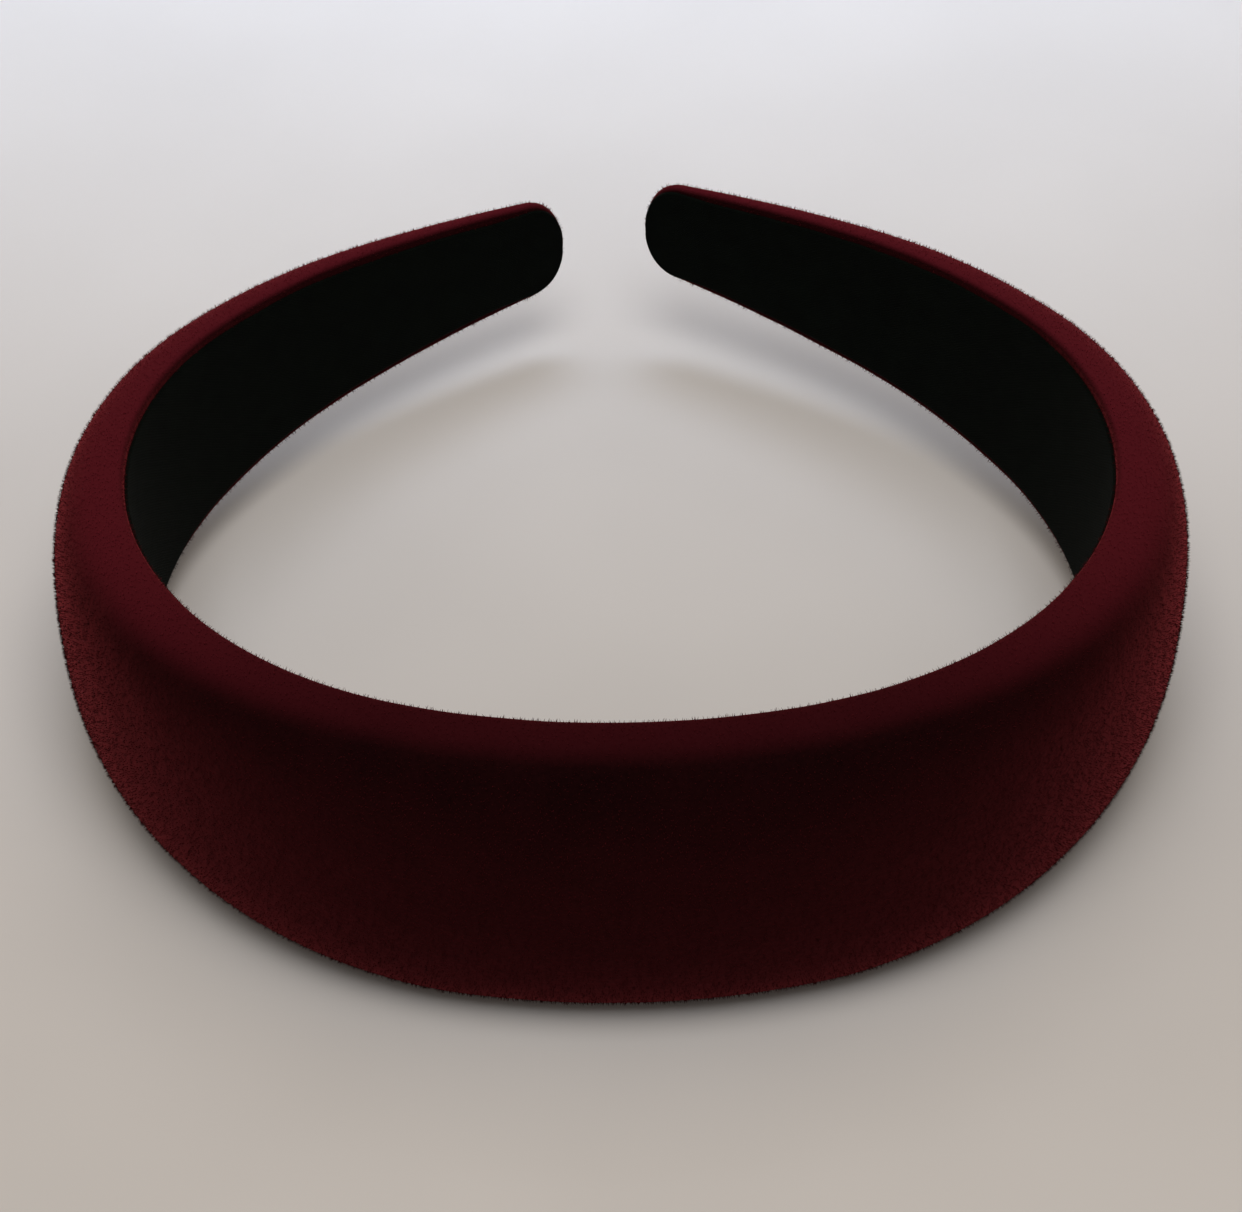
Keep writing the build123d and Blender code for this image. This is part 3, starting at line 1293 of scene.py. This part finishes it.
@dataclass
class SpringCore(Layer):
    """The moulded core: a flat springy strip with rounded edges, thinner towards the tips."""

    base: float = 1.05 * MM
    crown_depth: float = 1.8 * MM
    tip_depth: float = 0.7 * MM
    thins: tuple[float, float] = (0.70, 1.0)
    cover: float = 0.8 * MM
    end_gap: float = 0.05 * MM
    edge_gap: float = 0.3 * MM
    tip_edge_gap: float = 0.9 * MM
    edge_roll: float = 0.4  # as a share of the thickness
    edge_share: float = 0.2  # of the thickness, left at the very edge

    def depth(self, stations: np.ndarray) -> np.ndarray:
        """The moulding's thickness at each distance."""
        return self.form.taper(self.crown_depth, self.tip_depth, self.thins, stations)

    def skins(self) -> tuple[Skin, Skin]:
        """Draw two faces whose edges are rounded towards each other.

        Returns:
            The face under the foam and the face towards the head.
        """
        stations, half = self.form.stations(self.cover + self.end_gap)
        half = half - self.form.taper(self.edge_gap, self.tip_edge_gap, self.thins, stations)
        half = np.maximum(half, self.least_half)
        up = self.across(half)
        deep = self.depth(stations)[:, None]
        to_end = self.form.length - self.cover - stations[:, None]
        edge = np.minimum(half[:, None] - np.abs(up), to_end)
        full = rolled(edge, self.edge_roll * float(deep.max()))
        swell = 0.5 * deep * (self.edge_share + (1.0 - self.edge_share) * full)
        middle = self.base + deep / 2
        return Skin.grid(stations, up, middle + swell), Skin.grid(stations, up, middle - swell)


@dataclass
class PadFilm(Layer):
    """The thin tape that holds the foam on the core."""

    film: float = 0.15 * MM
    edge_gap: float = 2.0 * MM
    tip_gap: float = 11.0 * MM
    over_core: float = 0.05 * MM
    core: SpringCore | None = None

    def skins(self) -> tuple[Skin, Skin]:
        """Draw two flat faces just over the core.

        Returns:
            The face under the foam and the face on the core.
        """
        stations = self.form.evenly(self.form.length - self.tip_gap)
        up = self.across(self.form.half_height(stations) - self.edge_gap)
        low = self.core.base + self.core.depth(stations)[:, None] + self.over_core
        return Skin.grid(stations, up, low + self.film), Skin.grid(stations, up, low)


@dataclass
class FoamPad(Layer):
    """The domed foam, cut flat below and feathered out before the tips."""

    inset: float = 0.9 * MM
    spring: float = 1.0 * MM
    tip_gap: float = 11.0 * MM
    feather: float = 14.0 * MM
    feather_edge: float = 0.2  # the share of its depth that is left at the very end
    over_film: float = 0.05 * MM
    least_depth: float = 0.02 * MM
    film: PadFilm | None = None
    dome_points: int = 20

    def skins(self) -> tuple[Skin, Skin]:
        """Draw the dome and its flat underside.

        Returns:
            The dome and the underside.
        """
        end = self.form.length - self.tip_gap
        stations = self.form.evenly(end)
        half = (self.form.half_height(stations) - self.inset)[:, None]
        top = (self.form.thickness(stations) - self.inset)[:, None]
        core = self.film.core
        floor = core.base + core.depth(stations)[:, None]
        floor = floor + self.film.over_core + self.film.film + self.over_film
        breadth, rise = self.form.quarter(self.dome_points, self.form.fullness)
        breadth = np.concatenate([breadth, -breadth[-2::-1]])
        rise = np.concatenate([rise, rise[-2::-1]])
        dome = np.maximum(self.spring + (top - self.spring) * rise, floor + self.least_depth)
        run = eased((end - stations) / self.feather)[:, None]
        dome = floor + (dome - floor) * (self.feather_edge + (1.0 - self.feather_edge) * run)
        up = half * breadth
        return Skin.grid(stations, up, dome), Skin.grid(stations, up, floor)

    def declare(self, piece: bpy.types.Object) -> None:
        """Leave the foam, a firm, full pad, as it is."""


# --- table, light and camera -----------------------------------------------------------------
@dataclass(frozen=True)
class Softbox:
    """A square studio light."""

    name: str
    position: tuple[float, float, float]
    aim: tuple[float, float, float]
    size: float
    watts: float
    colour: str
    spread: float = 180.0  # degrees

    def hang(self) -> None:
        """Put the light in the scene."""
        lamp = bpy.data.lights.new(self.name, "AREA")
        lamp.shape, lamp.size = "SQUARE", self.size
        lamp.energy, lamp.spread = self.watts, radians(self.spread)
        lamp.color = linear(self.colour)[:3]
        holder = put(self.name, lamp)
        holder.location = self.position
        towards = Vector(self.aim) - Vector(self.position)
        holder.rotation_mode = "QUATERNION"
        holder.rotation_quaternion = towards.to_track_quat("-Z", "Y")


@dataclass(frozen=True)
class Studio:
    """A pale table top under soft light from above and behind, and the camera."""

    table: Finish = field(default_factory=PaintedTable)
    table_side: float = 4.0
    ambient: str = "#fff4e8"
    ambient_strength: float = 0.26
    lights: tuple[Softbox, ...] = (
        Softbox("key_above", (0.0, -0.30, 0.85), (0.0, 0.0, 0.0), 0.5, 3.2, "#ffffff"),
        Softbox("warm_ceiling", (0.0, 0.05, 0.90), (0.0, 0.05, 0.0), 0.9, 1.5, "#ffdfb4"),
        Softbox("far_window", (0.0, 0.45, 0.50), (0.0, 0.42, 0.0), 0.5, 1.27, "#d9e8ff", 60.0),
    )
    aim: tuple[float, float, float] = (-0.1 * MM, -8.5 * MM, 15.3 * MM)
    azimuth: float = -1.85
    elevation: float = 42.7
    roll: float = -0.17
    distance: float = 435.3 * MM
    lens: float = 94.6  # millimetres, on a 36 mm wide sensor

    def lay_table(self) -> None:
        """Lay the table top at the height on which the band stands."""
        half = self.table_side / 2
        mesh = bpy.data.meshes.new("table_top")
        corners = [(-half, -half, 0), (half, -half, 0), (half, half, 0), (-half, half, 0)]
        mesh.from_pydata(corners, [], [(0, 1, 2, 3)])
        mesh.materials.append(self.table.material())
        put("table_top", mesh)

    def light(self) -> None:
        """Hang the lights and set a pale surrounding."""
        for lamp in self.lights:
            lamp.hang()
        world = bpy.data.worlds.new("pale_room")
        world.use_nodes = True
        surround = world.node_tree.nodes["Background"]
        surround.inputs["Color"].default_value = linear(self.ambient)
        surround.inputs["Strength"].default_value = self.ambient_strength
        bpy.context.scene.world = world
        bpy.context.scene.view_settings.view_transform = "Standard"

    def place_camera(self) -> None:
        """Stand the camera in front of the crown, looking down at the band."""
        side, tilt = radians(self.azimuth), radians(self.elevation)
        back = Vector((sin(side) * cos(tilt), -cos(side) * cos(tilt), sin(tilt)))
        data = bpy.data.cameras.new("camera")
        data.lens, data.sensor_width = self.lens, 36.0
        data.clip_start, data.clip_end = 0.01, 20.0
        camera = put("camera", data)
        camera.location = Vector(self.aim) + back * self.distance
        camera.rotation_mode = "QUATERNION"
        level = (-back).to_track_quat("-Z", "Y")
        camera.rotation_quaternion = level @ Quaternion((0.0, 0.0, 1.0), radians(self.roll))
        bpy.context.scene.camera = camera

    def build(self) -> None:
        """Set the whole studio up."""
        self.lay_table()
        self.light()
        self.place_camera()


@dataclass
class Headband:
    """The whole band, from the lining outwards."""

    form: StripForm

    def layers(self) -> list[Layer]:
        """Choose every layer with its finish.

        Returns:
            The layers, in the order in which they are made.
        """
        tape = TissueTape()
        core = SpringCore(self.form, MouldedPlastic(), "core", "core_plastic")
        film = PadFilm(self.form, tape, "pad_film", "bonding_tape", core=core)
        return [
            core,
            film,
            FoamPad(self.form, OpenCellFoam(), "foam_pad", "pad_foam", film=film),
            LiningTape(self.form, tape, "lining_tape", "bonding_tape"),
            VelvetCover(self.form, PileVelvet(), "velvet_cover", "velvet"),
            WovenLiningLayer(self.form, WovenLining(), "lining", "lining_cloth"),
        ]

    def build(self) -> list[bpy.types.Object]:
        """Make every layer.

        Returns:
            All the pieces.
        """
        return [piece for layer in self.layers() for piece in layer.make()]


def main() -> None:
    """Build the studio, then the band, and report each piece."""
    logging.basicConfig(level=logging.INFO, format="%(name)s %(message)s")
    Studio().build()
    pieces = Headband(StripForm.in_frame()).build()
    log.info("%d pieces", len(pieces))


if __name__ == "__main__":
    main()
